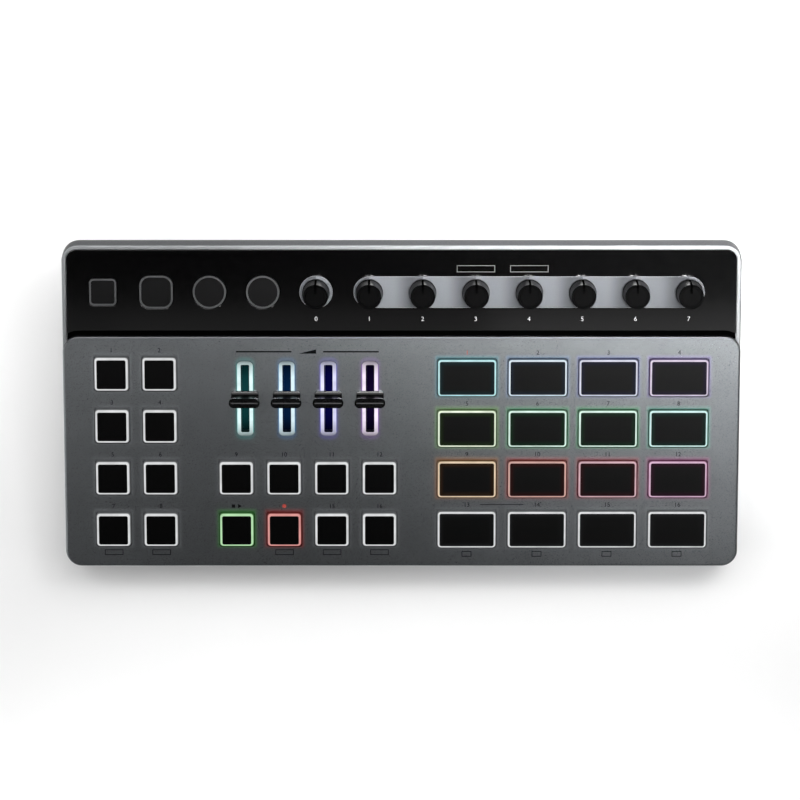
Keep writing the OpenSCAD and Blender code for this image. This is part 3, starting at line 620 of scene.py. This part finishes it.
CASE_PLASTIC = finish("case_plastic", (0.022, 0.023, 0.025), (0.50, 0.68), 0.5, 0.03)
BOARD_GREEN = finish("board_green", (0.012, 0.085, 0.035), (0.35, 0.5), 0.6, 0.01)
MAT_RUBBER = finish("mat_rubber", (0.08, 0.082, 0.088), (0.6, 0.75), 0.5, 0.02)
FOOT_RUBBER = finish("foot_rubber", (0.012, 0.012, 0.013), (0.7, 0.85), 0.4, 0.04)
SOCKET_BLACK = finish("socket_black", (0.016, 0.016, 0.017), (0.35, 0.5), 0.4, 0.012)
CAP_LINE = finish("cap_line", (0.05, 0.048, 0.052), (0.4, 0.5), 0.4, 0.002)
# Painted highlight: the buttons' raised beads are paler than their faces
BUTTON_BEAD_HIGHLIGHT = finish("button_bead_highlight", (0.05, 0.052, 0.054), (0.28, 0.4), 0.4, 0.003)
PRINT_WHITE = finish("print_white", (0.62, 0.62, 0.64), (0.4, 0.55), 0.4, 0.002, 0.04)
PRINT_GREY = finish("print_grey", (0.16, 0.16, 0.165), (0.4, 0.55), 0.4, 0.002, 0.04)
PRINT_RED = finish("print_red", (0.40, 0.05, 0.035), (0.4, 0.55), 0.4, 0.002, 0.06)
FLOOR_WHITE = finish("floor_white", (0.92, 0.92, 0.92), (0.6, 0.7), 2.0, 0.002, 0.01)


# Case, panel and rear sockets


def paint(node, *materials, pick=None):
    """Gives a node its finish, or several, with pick choosing one for each face."""
    mesh = NODES[node].data
    mesh.materials.clear()
    for material in materials:
        mesh.materials.append(material)
    for face in mesh.polygons:
        face.material_index = pick(face) if pick else 0


def pick_socket(face):
    """Metal nuts and data socket, and black plastic bushes and bodies."""
    away = [math.hypot(face.center.x / MM - x, face.center.z / MM - SOCKET_Z) for x in JACK_X]
    if min(away) > JACK_PITCH:
        return 1
    return 1 if min(away) > BUSH_RADIUS and face.center.y > CASE_REAR else 0


def paint_case():
    """Bottom case with what it carries, the shell with its rim and painted shade on its walls, the
    deck plate with painted shade on its rear edge.
    """
    paint("bottom_case", CASE_PLASTIC)
    paint("circuit_boards", BOARD_GREEN)
    paint("switch_mat", MAT_RUBBER)
    paint("feet", FOOT_RUBBER)
    paint("case_screws", SCREW_STEEL)
    paint("rear_sockets", SOCKET_BLACK, SOCKET_METAL, pick=pick_socket)
    # Faces that look up take the rim's finish, and the walls take a darker one as painted shade
    paint(
        "top_shell",
        SHADED_SHELL_METAL,
        RIM_METAL,
        pick=lambda face: 1 if face.normal.dot(UP) > RIM_SLOPE else 0,
    )
    # Faces of the deck plate that look rearwards take a darker finish, as painted shade
    paint(
        "deck_plate",
        DECK_METAL,
        DECK_REAR_SHADE,
        pick=lambda face: 1 if face.normal.dot(UPHILL) > REAR_SLOPE else 0,
    )


def paint_panel():
    """Glossy face, and a dull black groove along the deck plate, as painted shade."""
    face_level = PANEL_TOP - GROOVE_SLACK
    paint(
        "control_panel",
        PANEL_BLACK,
        GROOVE_SHADE_BLACK,
        pick=lambda face: 0 if deck_level(face.center) > face_level else 1,
    )


def paint_strip():
    """Painted shade on the strip: a little darker towards the right, where more light falls, and a
    painted shadow left of each knob.
    """
    paint("knob_strip", STRIP_METAL, STRIP_EDGE_HIGHLIGHT)
    across = deck_u(STRIP_METAL)
    # Painted shade: the strip grows darker towards its right end
    left = fade(STRIP_METAL, across, *STRIP_SPAN, smooth=False)
    darken(STRIP_METAL, calc(STRIP_METAL, "MULTIPLY_ADD", left, STRIP_GAIN, STRIP_RIGHT))
    first, second = middle(KNOBS[1])[0], middle(KNOBS[2])[0]
    pitch = second - first
    offset = calc(STRIP_METAL, "SUBTRACT", across, first)
    past = calc(STRIP_METAL, "FLOORED_MODULO", offset, pitch)
    # Painted shadow: darker just left of each knob
    near = fade(STRIP_METAL, calc(STRIP_METAL, "SUBTRACT", pitch, past), *STRIP_PAINTED_SHADOW)
    darken(STRIP_METAL, calc(STRIP_METAL, "MULTIPLY_ADD", near, -STRIP_PAINTED_SHADOW_DEPTH, 1))


# Lit keys and pads


def lit_skirt(name, glow, skirt_top):
    """Skirt of a key: dark and deep in colour at its foot, pale and bright above."""
    deep, pale = GLOW[glow]
    stops = toned(deep, SKIRT_FADE) + [(SKIRT_BRIGHT, pale), (1.0, pale)]

    def height(material):
        above = calc(material, "SUBTRACT", deck_w(material), FOOT_HEIGHT)
        return calc(material, "DIVIDE", above, skirt_top - FOOT_HEIGHT)

    return lit_plastic(name, height, stops)


def lit_gap(name, glow):
    """Foot of a key in the gap of the deck, fading downwards."""

    def depth(material):
        return calc(material, "DIVIDE", deck_w(material), -GAP_DEPTH)

    return lit_plastic(name, depth, toned(GLOW[glow][0], GAP_FADE))


def light_keys(keys, kind, face_black):
    """Black faces on top, lit skirts round them, and a deeper glow in the gaps of the deck."""
    skirt_top = top_level(keys[0]) - CAP_HEIGHT
    skirts, gaps = {}, {}
    for glow in sorted({KEY_GLOW[node] for node in keys}):
        skirts[glow] = lit_skirt(f"{kind}_ring_{glow}", glow, skirt_top)
        gaps[glow] = lit_gap(f"{kind}_gap_{glow}", glow)

    def pick(face):
        height = deck_level(face.center)
        if height > skirt_top + LEVEL_SLACK:
            return 0
        return 1 if height > FOOT_HEIGHT + LEVEL_SLACK else 2

    for node in keys:
        glow = KEY_GLOW[node]
        paint(node, face_black, skirts[glow], gaps[glow], pick=pick)


def thrown_colors(keys):
    """Colours of the painted light that keys throw round them, weaker where the deck is darker or
    the key white.
    """
    glows = [KEY_GLOW[node] for node in keys]
    return [tone(GLOW[glow][0], HALO_TONE.get(glow, 1.0)) for glow in glows]


def halo(material, keys, columns, half):
    """Painted light that a block of keys throws on the deck, and painted shade close to their gaps.
    """
    number, across, along = nearest_key(material, keys, columns, HALO_SHIFT)
    color = pick_color(material, number, thrown_colors(keys))
    distance = beyond(material, across, along, half)
    near = fade(material, distance, 0, HALO_REACH)
    strength = calc(material, "MULTIPLY", calc(material, "MULTIPLY", near, near), HALO_STRENGTH)
    close = fade(material, distance, SHADE_START, SHADE_REACH)
    shade = calc(material, "MULTIPLY", close, SHADE_DEPTH)
    return scaled(material, color, strength), calc(material, "SUBTRACT", 1, shade)


def light_pad_edges():
    """Painted glow of its ring along the edge of each pad's black face."""
    number, across, along = nearest_key(PAD_BLACK, PADS, PAD_COLUMNS)
    color = pick_color(PAD_BLACK, number, thrown_colors(PADS))
    inside_u = calc(PAD_BLACK, "SUBTRACT", PAD_FACE[0], across)
    inside_v = calc(PAD_BLACK, "SUBTRACT", PAD_FACE[1], along)
    near = fade(PAD_BLACK, calc(PAD_BLACK, "MINIMUM", inside_u, inside_v), 0, EDGE_REACH)
    shine(PAD_BLACK, scaled(PAD_BLACK, color, calc(PAD_BLACK, "MULTIPLY", near, EDGE_GLOW)))


# Faders


def nearest_fader(face):
    """Number of the fader that a face is nearest to, and its distance in millimetres."""
    places = [abs(u - face.center.x / MM) for u in FADER_U]
    return places.index(min(places)), min(places)


def guide_place(material):
    """Place along a slot: nothing at its middle, one at the ends of its guide."""
    along = calc(material, "SUBTRACT", deck_v(material), GUIDE_V)
    return calc(material, "DIVIDE", calc(material, "ABSOLUTE", along), GUIDE_REACH)


def guide_distance(material, across):
    """Distance from the straight core of a guide, as far as its corner radius on its rim."""
    along = calc(material, "ABSOLUTE", calc(material, "SUBTRACT", deck_v(material), GUIDE_V))
    return beyond(material, across, along, GUIDE_CORE)


def guide_halo(material):
    """Painted light that the fader guides throw on the deck."""
    step = FADER_U[1] - FADER_U[0]
    place = deck_u(material)
    number, across = nearest_step(material, place, FADER_U[0], step, len(FADER_U))
    color = pick_color(material, number, [thrown for _, _, thrown in FADER_GLOW.values()])
    distance = guide_distance(material, across)
    near = fade(material, distance, GUIDE_CORNER, GUIDE_CORNER + GUIDE_HALO_REACH)
    return scaled(material, color, calc(material, "MULTIPLY", near, GUIDE_HALO_STRENGTH))


def dim_rim(material, u, color):
    """Dims and deepens a guide's light along its rim."""
    across = calc(material, "ABSOLUTE", calc(material, "SUBTRACT", deck_u(material), u))
    distance = guide_distance(material, across)
    inside = fade(material, distance, GUIDE_CORNER - RIM_FADE, GUIDE_CORNER)
    outside = calc(material, "SUBTRACT", 1, inside)
    rim = color_ramp(material, outside, ((0.0, (0, 0, 0)), (1.0, color)))
    socket = shader_socket(material, "Emission Color")
    lit = scaled(material, socket.links[0].from_socket, inside)
    material.node_tree.links.new(summed(material, [lit, rim]), socket)


def light_fader(glow, u):
    """Guide and slot wall of one fader, and the painted glow on the slide control's top under its
    slot, which dim towards the slot's ends.
    """
    pale, deep, thrown = FADER_GLOW[glow]
    guide = lit_plastic(f"guide_{glow}", guide_place, toned(pale, GUIDE_FADE))
    dim_rim(guide, u, thrown)
    slot = toned(deep, SLOT_FADE)
    wall = lit_plastic(f"slot_wall_{glow}", guide_place, slot, milk=SLOT_MILK, gloss=0.0)
    floor = lit_plastic(f"slot_painted_glow_{glow}", guide_place, slot, milk=SLOT_MILK, gloss=0.0)
    return guide, wall, floor


def light_faders():
    """Lit guides round the slots, and painted glow on the tops of the slide controls under them."""
    lights = [light_fader(glow, u) for glow, u in zip(FADER_GLOW, FADER_U)]

    def pick_guide(face):
        number = nearest_fader(face)[0]
        return 2 * number + (0 if face.normal.dot(UP) > LEVEL_SLOPE else 1)

    def pick_pot(face):
        # The slide controls' tops under each slot take that slot's colour as painted glow
        number, away = nearest_fader(face)
        under_slot = away < SLIDE_POT_HALF and face.center.y < SLIDE_POT_REAR
        return 1 + number if under_slot and face.normal.dot(UP) > LEVEL_SLOPE else 0

    rings = [material for guide, wall, _ in lights for material in (guide, wall)]
    paint("fader_light_guides", *rings, pick=pick_guide)
    paint("potentiometers", POT_METAL, *[floor for _, _, floor in lights], pick=pick_pot)


def light_deck():
    """Painted light of the keys and the fader guides on the deck plate round them, and painted shade
    close to the keys.
    """
    lights = [guide_halo(DECK_METAL)]
    for keys, columns, half in KEY_GRIDS:
        light, shade = halo(DECK_METAL, keys, columns, half)
        darken(DECK_METAL, shade)
        lights.append(light)
    shine(DECK_METAL, summed(DECK_METAL, lights))


def paint_cap(node):
    """Black cap with a grey marker line in its groove, on a metal lever."""
    top = top_level(node)

    def pick(face):
        height = deck_level(face.center)
        if height < CAP_FOOT:
            return 2
        if face.normal.dot(UP) < CAP_TOP_SLOPE:
            return 0
        if height > top - LEVEL_SLACK:
            return 3
        return 1 if height > top - GROOVE_DEPTH - LEVEL_SLACK else 0

    paint(node, FADER_BLACK, CAP_LINE, LEVER_METAL, CAP_TOP, pick=pick)


# Knobs and panel buttons


def within(node, test):
    """Numbers of a node's faces whose corners all pass a test."""
    mesh = NODES[node].data
    return {
        face.index
        for face in mesh.polygons
        if all(test(mesh.vertices[corner].co) for corner in face.vertices)
    }


def paint_knob(node):
    """Dull top, smoother flank and a dark pointer line."""
    u, v = middle(node)
    foot = top_level(node) - POINTER_HEIGHT

    def on_line(point):
        rear = (UPHILL.dot(point) - DECK_FRONT) / MM - v > POINTER_START
        return rear and abs(point.x / MM - u) < POINTER_HALF and deck_level(point) > foot

    line = within(node, on_line)

    def pick(face):
        if face.index in line:
            return 2
        return 0 if face.normal.dot(UP) > KNOB_TOP_SLOPE else 1

    paint(node, KNOB_TOP, KNOB_FLANK, KNOB_LINE, pick=pick)


def paint_button(node):
    """Dark face inside a raised bead that is painted paler, a painted highlight along its rim."""
    bead = top_level(node) - BEAD_HEIGHT + LEVEL_SLACK

    def pick(face):
        return 1 if deck_level(face.center) > bead else 0

    paint(node, BUTTON_BLACK, BUTTON_BEAD_HIGHLIGHT, pick=pick)


# Edges


def soften(node, width, finish_number=-1):
    """Rounds the sharp edges of a node by a width in millimetres, so that they catch the light."""
    piece = NODES[node]
    weld = piece.modifiers.new("weld", "WELD")
    weld.merge_threshold = SEAM * MM
    flat = piece.modifiers.new("flat", "DECIMATE")
    flat.decimate_type = "DISSOLVE"
    flat.angle_limit = math.radians(FLAT_ANGLE)
    flat.delimit = {"MATERIAL"}
    edge = piece.modifiers.new("edge", "BEVEL")
    edge.width = width * MM
    edge.segments = EDGE_SEGMENTS
    edge.material = finish_number
    edge.limit_method = "ANGLE"
    edge.angle_limit = math.radians(SHARP_ANGLE)
    even = piece.modifiers.new("even", "WEIGHTED_NORMAL")
    even.mode = "FACE_AREA"
    even.weight = FULL_WEIGHT
    even.keep_sharp = True


# Printed marks: plain numbers, lines and signs as thin solids on the deck and the panel


def prism(marks, points, w=0.0):
    """Upright solid on an outline of u and v, as thick as a print, at a level."""
    low = [marks.verts.new(deck_point(u, v, w - PRINT_SINK)) for u, v in points]
    high = [marks.verts.new(deck_point(u, v, w + PRINT_THICK)) for u, v in points]
    marks.faces.new(high)
    marks.faces.new(low[::-1])
    for i in range(len(points)):
        k = (i + 1) % len(points)
        marks.faces.new((low[i], low[k], high[k], high[i]))


def corners(size):
    """Corners of a rectangle of a width and depth about its middle."""
    a, b = size[0] / 2, size[1] / 2
    return [(-a, -b), (a, -b), (a, b), (-a, b)]


def bar(marks, u, v, size):
    """Straight line or filled rectangle about a middle."""
    prism(marks, [(u + a, v + b) for a, b in corners(size)])


def box(marks, u, v, size, w=0.0):
    """Outlined rectangle about a middle."""
    outer = corners(size)
    inner = corners((size[0] - 2 * LINE, size[1] - 2 * LINE))
    loops = [
        [marks.verts.new(deck_point(u + a, v + b, level)) for a, b in loop]
        for loop in (outer, inner)
        for level in (w - PRINT_SINK, w + PRINT_THICK)
    ]
    outer_low, outer_high, inner_low, inner_high = loops
    for i in range(len(outer)):
        k = (i + 1) % len(outer)
        marks.faces.new((outer_high[i], outer_high[k], inner_high[k], inner_high[i]))
        marks.faces.new((outer_low[k], outer_low[i], inner_low[i], inner_low[k]))
        marks.faces.new((outer_low[i], outer_low[k], outer_high[k], outer_high[i]))
        marks.faces.new((inner_low[k], inner_low[i], inner_high[i], inner_high[k]))


def disc(marks, u, v, across):
    """Filled disc about a middle."""
    turns = [2 * math.pi * i / DISC_CORNERS for i in range(DISC_CORNERS)]
    radius = across / 2
    prism(marks, [(u + radius * math.cos(a), v + radius * math.sin(a)) for a in turns])


def number(marks, text, u, v, w=0.0):
    """Plain number about a middle."""
    curve = bpy.data.curves.new("number", "FONT")
    curve.body = text
    curve.align_x = "CENTER"
    curve.extrude = TEXT_THICK / 2
    curve.resolution_u = TEXT_STEPS
    writing = bpy.data.objects.new("number", curve)
    solid = bpy.data.meshes.new_from_object(writing)
    tall = max(vertex.co.y for vertex in solid.vertices)
    shape = bmesh.new()
    shape.from_mesh(solid)
    bmesh.ops.remove_doubles(shape, verts=shape.verts, dist=TEXT_SEAM)
    size = MARK_HIGH / tall
    thick = (PRINT_THICK + PRINT_SINK) / TEXT_THICK
    stretch = Matrix.Diagonal((size * MM, size * MM, thick * MM, 1))
    lift = (PRINT_THICK - PRINT_SINK) / 2
    shape.transform(deck_frame(u, v - MARK_HIGH / 2, w + lift) @ stretch)
    shape.to_mesh(solid)
    shape.free()
    marks.from_mesh(solid)
    bpy.data.meshes.remove(solid)
    bpy.data.objects.remove(writing)
    bpy.data.curves.remove(curve)


def finish_marks(marks, name, material):
    """Turns the gathered marks into one piece that rides on the case."""
    bmesh.ops.recalc_face_normals(marks, faces=marks.faces)
    mesh = bpy.data.meshes.new(name)
    marks.to_mesh(mesh)
    marks.free()
    mesh.materials.append(material)
    piece = bpy.data.objects.new(name, mesh)
    bpy.context.scene.collection.objects.link(piece)
    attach(piece, "case")


def key_marks(dark, red):
    """Numbers behind the keys and pads, with signs for play and record instead of two."""
    for count, node in enumerate(LEFT_KEYS + MID_KEYS, 1):
        u, v = middle(node)
        v += KEY_MARK
        if node == PLAY_KEY:
            bar(dark, u + STOP_U, v, (STOP_SIDE, STOP_SIDE))
            base, tip = (u + place for place in PLAY_U)
            prism(dark, [(base, v - PLAY_HALF), (tip, v), (base, v + PLAY_HALF)])
        elif node == RECORD_KEY:
            disc(red, u, v, RECORD_DISC)
        else:
            number(dark, str(count), u, v)
    for count, node in enumerate(PADS, 1):
        u, v = middle(node)
        number(red if node == FIRST_PAD else dark, str(count), u, v + PAD_MARK)


def front_marks(dark):
    """Boxes in front of the front row, and a line behind its first two pads."""
    front_pads = PADS[-PAD_COLUMNS:]
    for node in BOXED_KEYS:
        u, v = middle(node)
        box(dark, u, v - KEY_BOX_AWAY, KEY_BOX)
    for node in front_pads:
        u, v = middle(node)
        box(dark, u, v - PAD_MARK, PAD_BOX)
    first, second = middle(front_pads[0]), middle(front_pads[1])
    bar(dark, (first[0] + second[0]) / 2, first[1] + PAD_MARK, (PAIR_LINE, LINE))


def fader_marks(dark):
    """Line behind the faders, in two stretches, and a rising wedge between them."""
    left, right = FADER_U[0], FADER_U[-1]
    for u in (left + FADER_LINE_IN, right - FADER_LINE_IN):
        bar(dark, u, FADER_LINE_V, FADER_LINE)
    u, front, rear = (left + right) / 2, FADER_LINE_V - WEDGE_FRONT, FADER_LINE_V + WEDGE_REAR
    prism(dark, [(u - WEDGE_HALF, front), (u + WEDGE_HALF, front), (u + WEDGE_HALF, rear)])


def deck_marks():
    """Dark and red marks on the deck plate."""
    dark, red = bmesh.new(), bmesh.new()
    key_marks(dark, red)
    front_marks(dark)
    fader_marks(dark)
    finish_marks(dark, "deck_print_dark", PRINT_DARK)
    finish_marks(red, "deck_print_red", PRINT_RED)


def panel_marks():
    """White numbers in front of the knobs and two grey boxes behind them."""
    white, grey = bmesh.new(), bmesh.new()
    for count, node in enumerate(KNOBS):
        u, v = middle(node)
        number(white, str(count), u, v - KNOB_MARK, PANEL_TOP)
    for node in BOXED_KNOBS:
        u, v = middle(node)
        box(grey, u, v + KNOB_BOX_AWAY, KNOB_BOX, PANEL_TOP)
    finish_marks(white, "panel_print_white", PRINT_WHITE)
    finish_marks(grey, "panel_print_grey", PRINT_GREY)


# Studio


def place_camera():
    """Camera over the deck, at the photograph's viewing angle."""
    data = bpy.data.cameras.new("camera")
    data.lens = VIEW_LENS
    data.clip_end = SIGHT
    camera = bpy.data.objects.new("camera", data)
    bpy.context.scene.collection.objects.link(camera)
    bpy.context.scene.camera = camera
    back = UP * math.cos(VIEW_LEAN) + UPHILL * math.sin(VIEW_LEAN)
    turn = Matrix((RIGHT, back.cross(RIGHT), back)).transposed().to_4x4()
    place = deck_point(VIEW_U, VIEW_V) + back * (VIEW_DISTANCE * MM)
    camera.matrix_world = Matrix.Translation(place) @ turn


def hang(name, data, place, aim):
    """Hangs a light at a place, facing a point."""
    light = bpy.data.objects.new(name, data)
    bpy.context.scene.collection.objects.link(light)
    light.location = place
    light.rotation_mode = "QUATERNION"
    light.rotation_quaternion = (Vector(aim) - Vector(place)).to_track_quat("-Z", "Y")


def area_light(name, place, aim, size, power):
    """Rectangular soft light."""
    data = bpy.data.lights.new(name, "AREA")
    data.shape = "RECTANGLE"
    data.size, data.size_y = size
    data.energy = power
    hang(name, data, place, aim)


def pool_light(name, place, aim, angle, power):
    """Spot with a wholly soft edge, brightest at the point that it faces."""
    data = bpy.data.lights.new(name, "SPOT")
    data.energy = power
    data.spot_size = math.radians(angle)
    data.spot_blend = 1.0
    data.shadow_soft_size = POOL_RADIUS
    hang(name, data, place, aim)


def compass(turn, height, distance):
    """Place at a distance from the part: turn from the rear to the right, height above the floor."""
    turn, height = math.radians(turn), math.radians(height)
    flat = math.cos(height)
    return distance * Vector((math.sin(turn) * flat, math.cos(turn) * flat, math.sin(height)))


def hang_lights():
    """Soft boxes, overhead cards and pools of light."""
    for name, (turn, height, width, power) in SOFT_BOXES.items():
        area_light(name, compass(turn, height, BOX_DISTANCE), PART, (width, width), power)
    for name, (x, width, power) in CARDS.items():
        aim = (x, CARD_Y - CARD_LEAN, 0)
        area_light(name, (x, CARD_Y, CARD_Z), aim, (width, CARD_DEPTH), power)
    for name, (place, aim, angle, power) in POOLS.items():
        pool_light(name, place, aim, angle, power)


def light_horizon():
    """Dark room with a weak band of light along the horizon."""
    world = bpy.data.worlds.new("world")
    bpy.context.scene.world = world
    world.use_nodes = True
    tree = world.node_tree
    sky = tree.nodes["Background"]
    sky.inputs["Color"].default_value = HORIZON_COLOR
    place = tree.nodes.new("ShaderNodeTexCoord")
    axes = tree.nodes.new("ShaderNodeSeparateXYZ")
    tree.links.new(place.outputs["Generated"], axes.inputs["Vector"])
    band = map_range(tree, axes.outputs["Z"], (0, HORIZON), (HORIZON_GLOW, 0))
    tree.links.new(band, sky.inputs["Strength"])


def lay_floor():
    """Plain pale floor."""
    mesh = bpy.data.meshes.new("floor")
    side = 2 * FLOOR_HALF
    mesh.from_pydata([(x, y, 0) for x, y in corners((side, side))], [], [(0, 1, 2, 3)])
    mesh.materials.append(FLOOR_WHITE)
    floor = bpy.data.objects.new("floor", mesh)
    bpy.context.scene.collection.objects.link(floor)


paint_case()
paint_panel()
paint_strip()
light_keys(LEFT_KEYS + MID_KEYS, "key", KEY_BLACK)
light_keys(PADS, "pad", PAD_BLACK)
light_pad_edges()
light_deck()
light_faders()
for node in FADER_CAPS:
    paint_cap(node)
for node in KNOBS:
    paint_knob(node)
for node in PANEL_BUTTONS:
    paint_button(node)

for node, width in EDGE_WIDTHS.items():
    soften(node, width)
# The strip's rounded edges take its paler finish, a painted highlight
soften("knob_strip", STRIP_EDGE_WIDTH, finish_number=1)

deck_marks()
panel_marks()

place_camera()
hang_lights()
light_horizon()
lay_floor()
bpy.context.scene.view_settings.view_transform = "Standard"
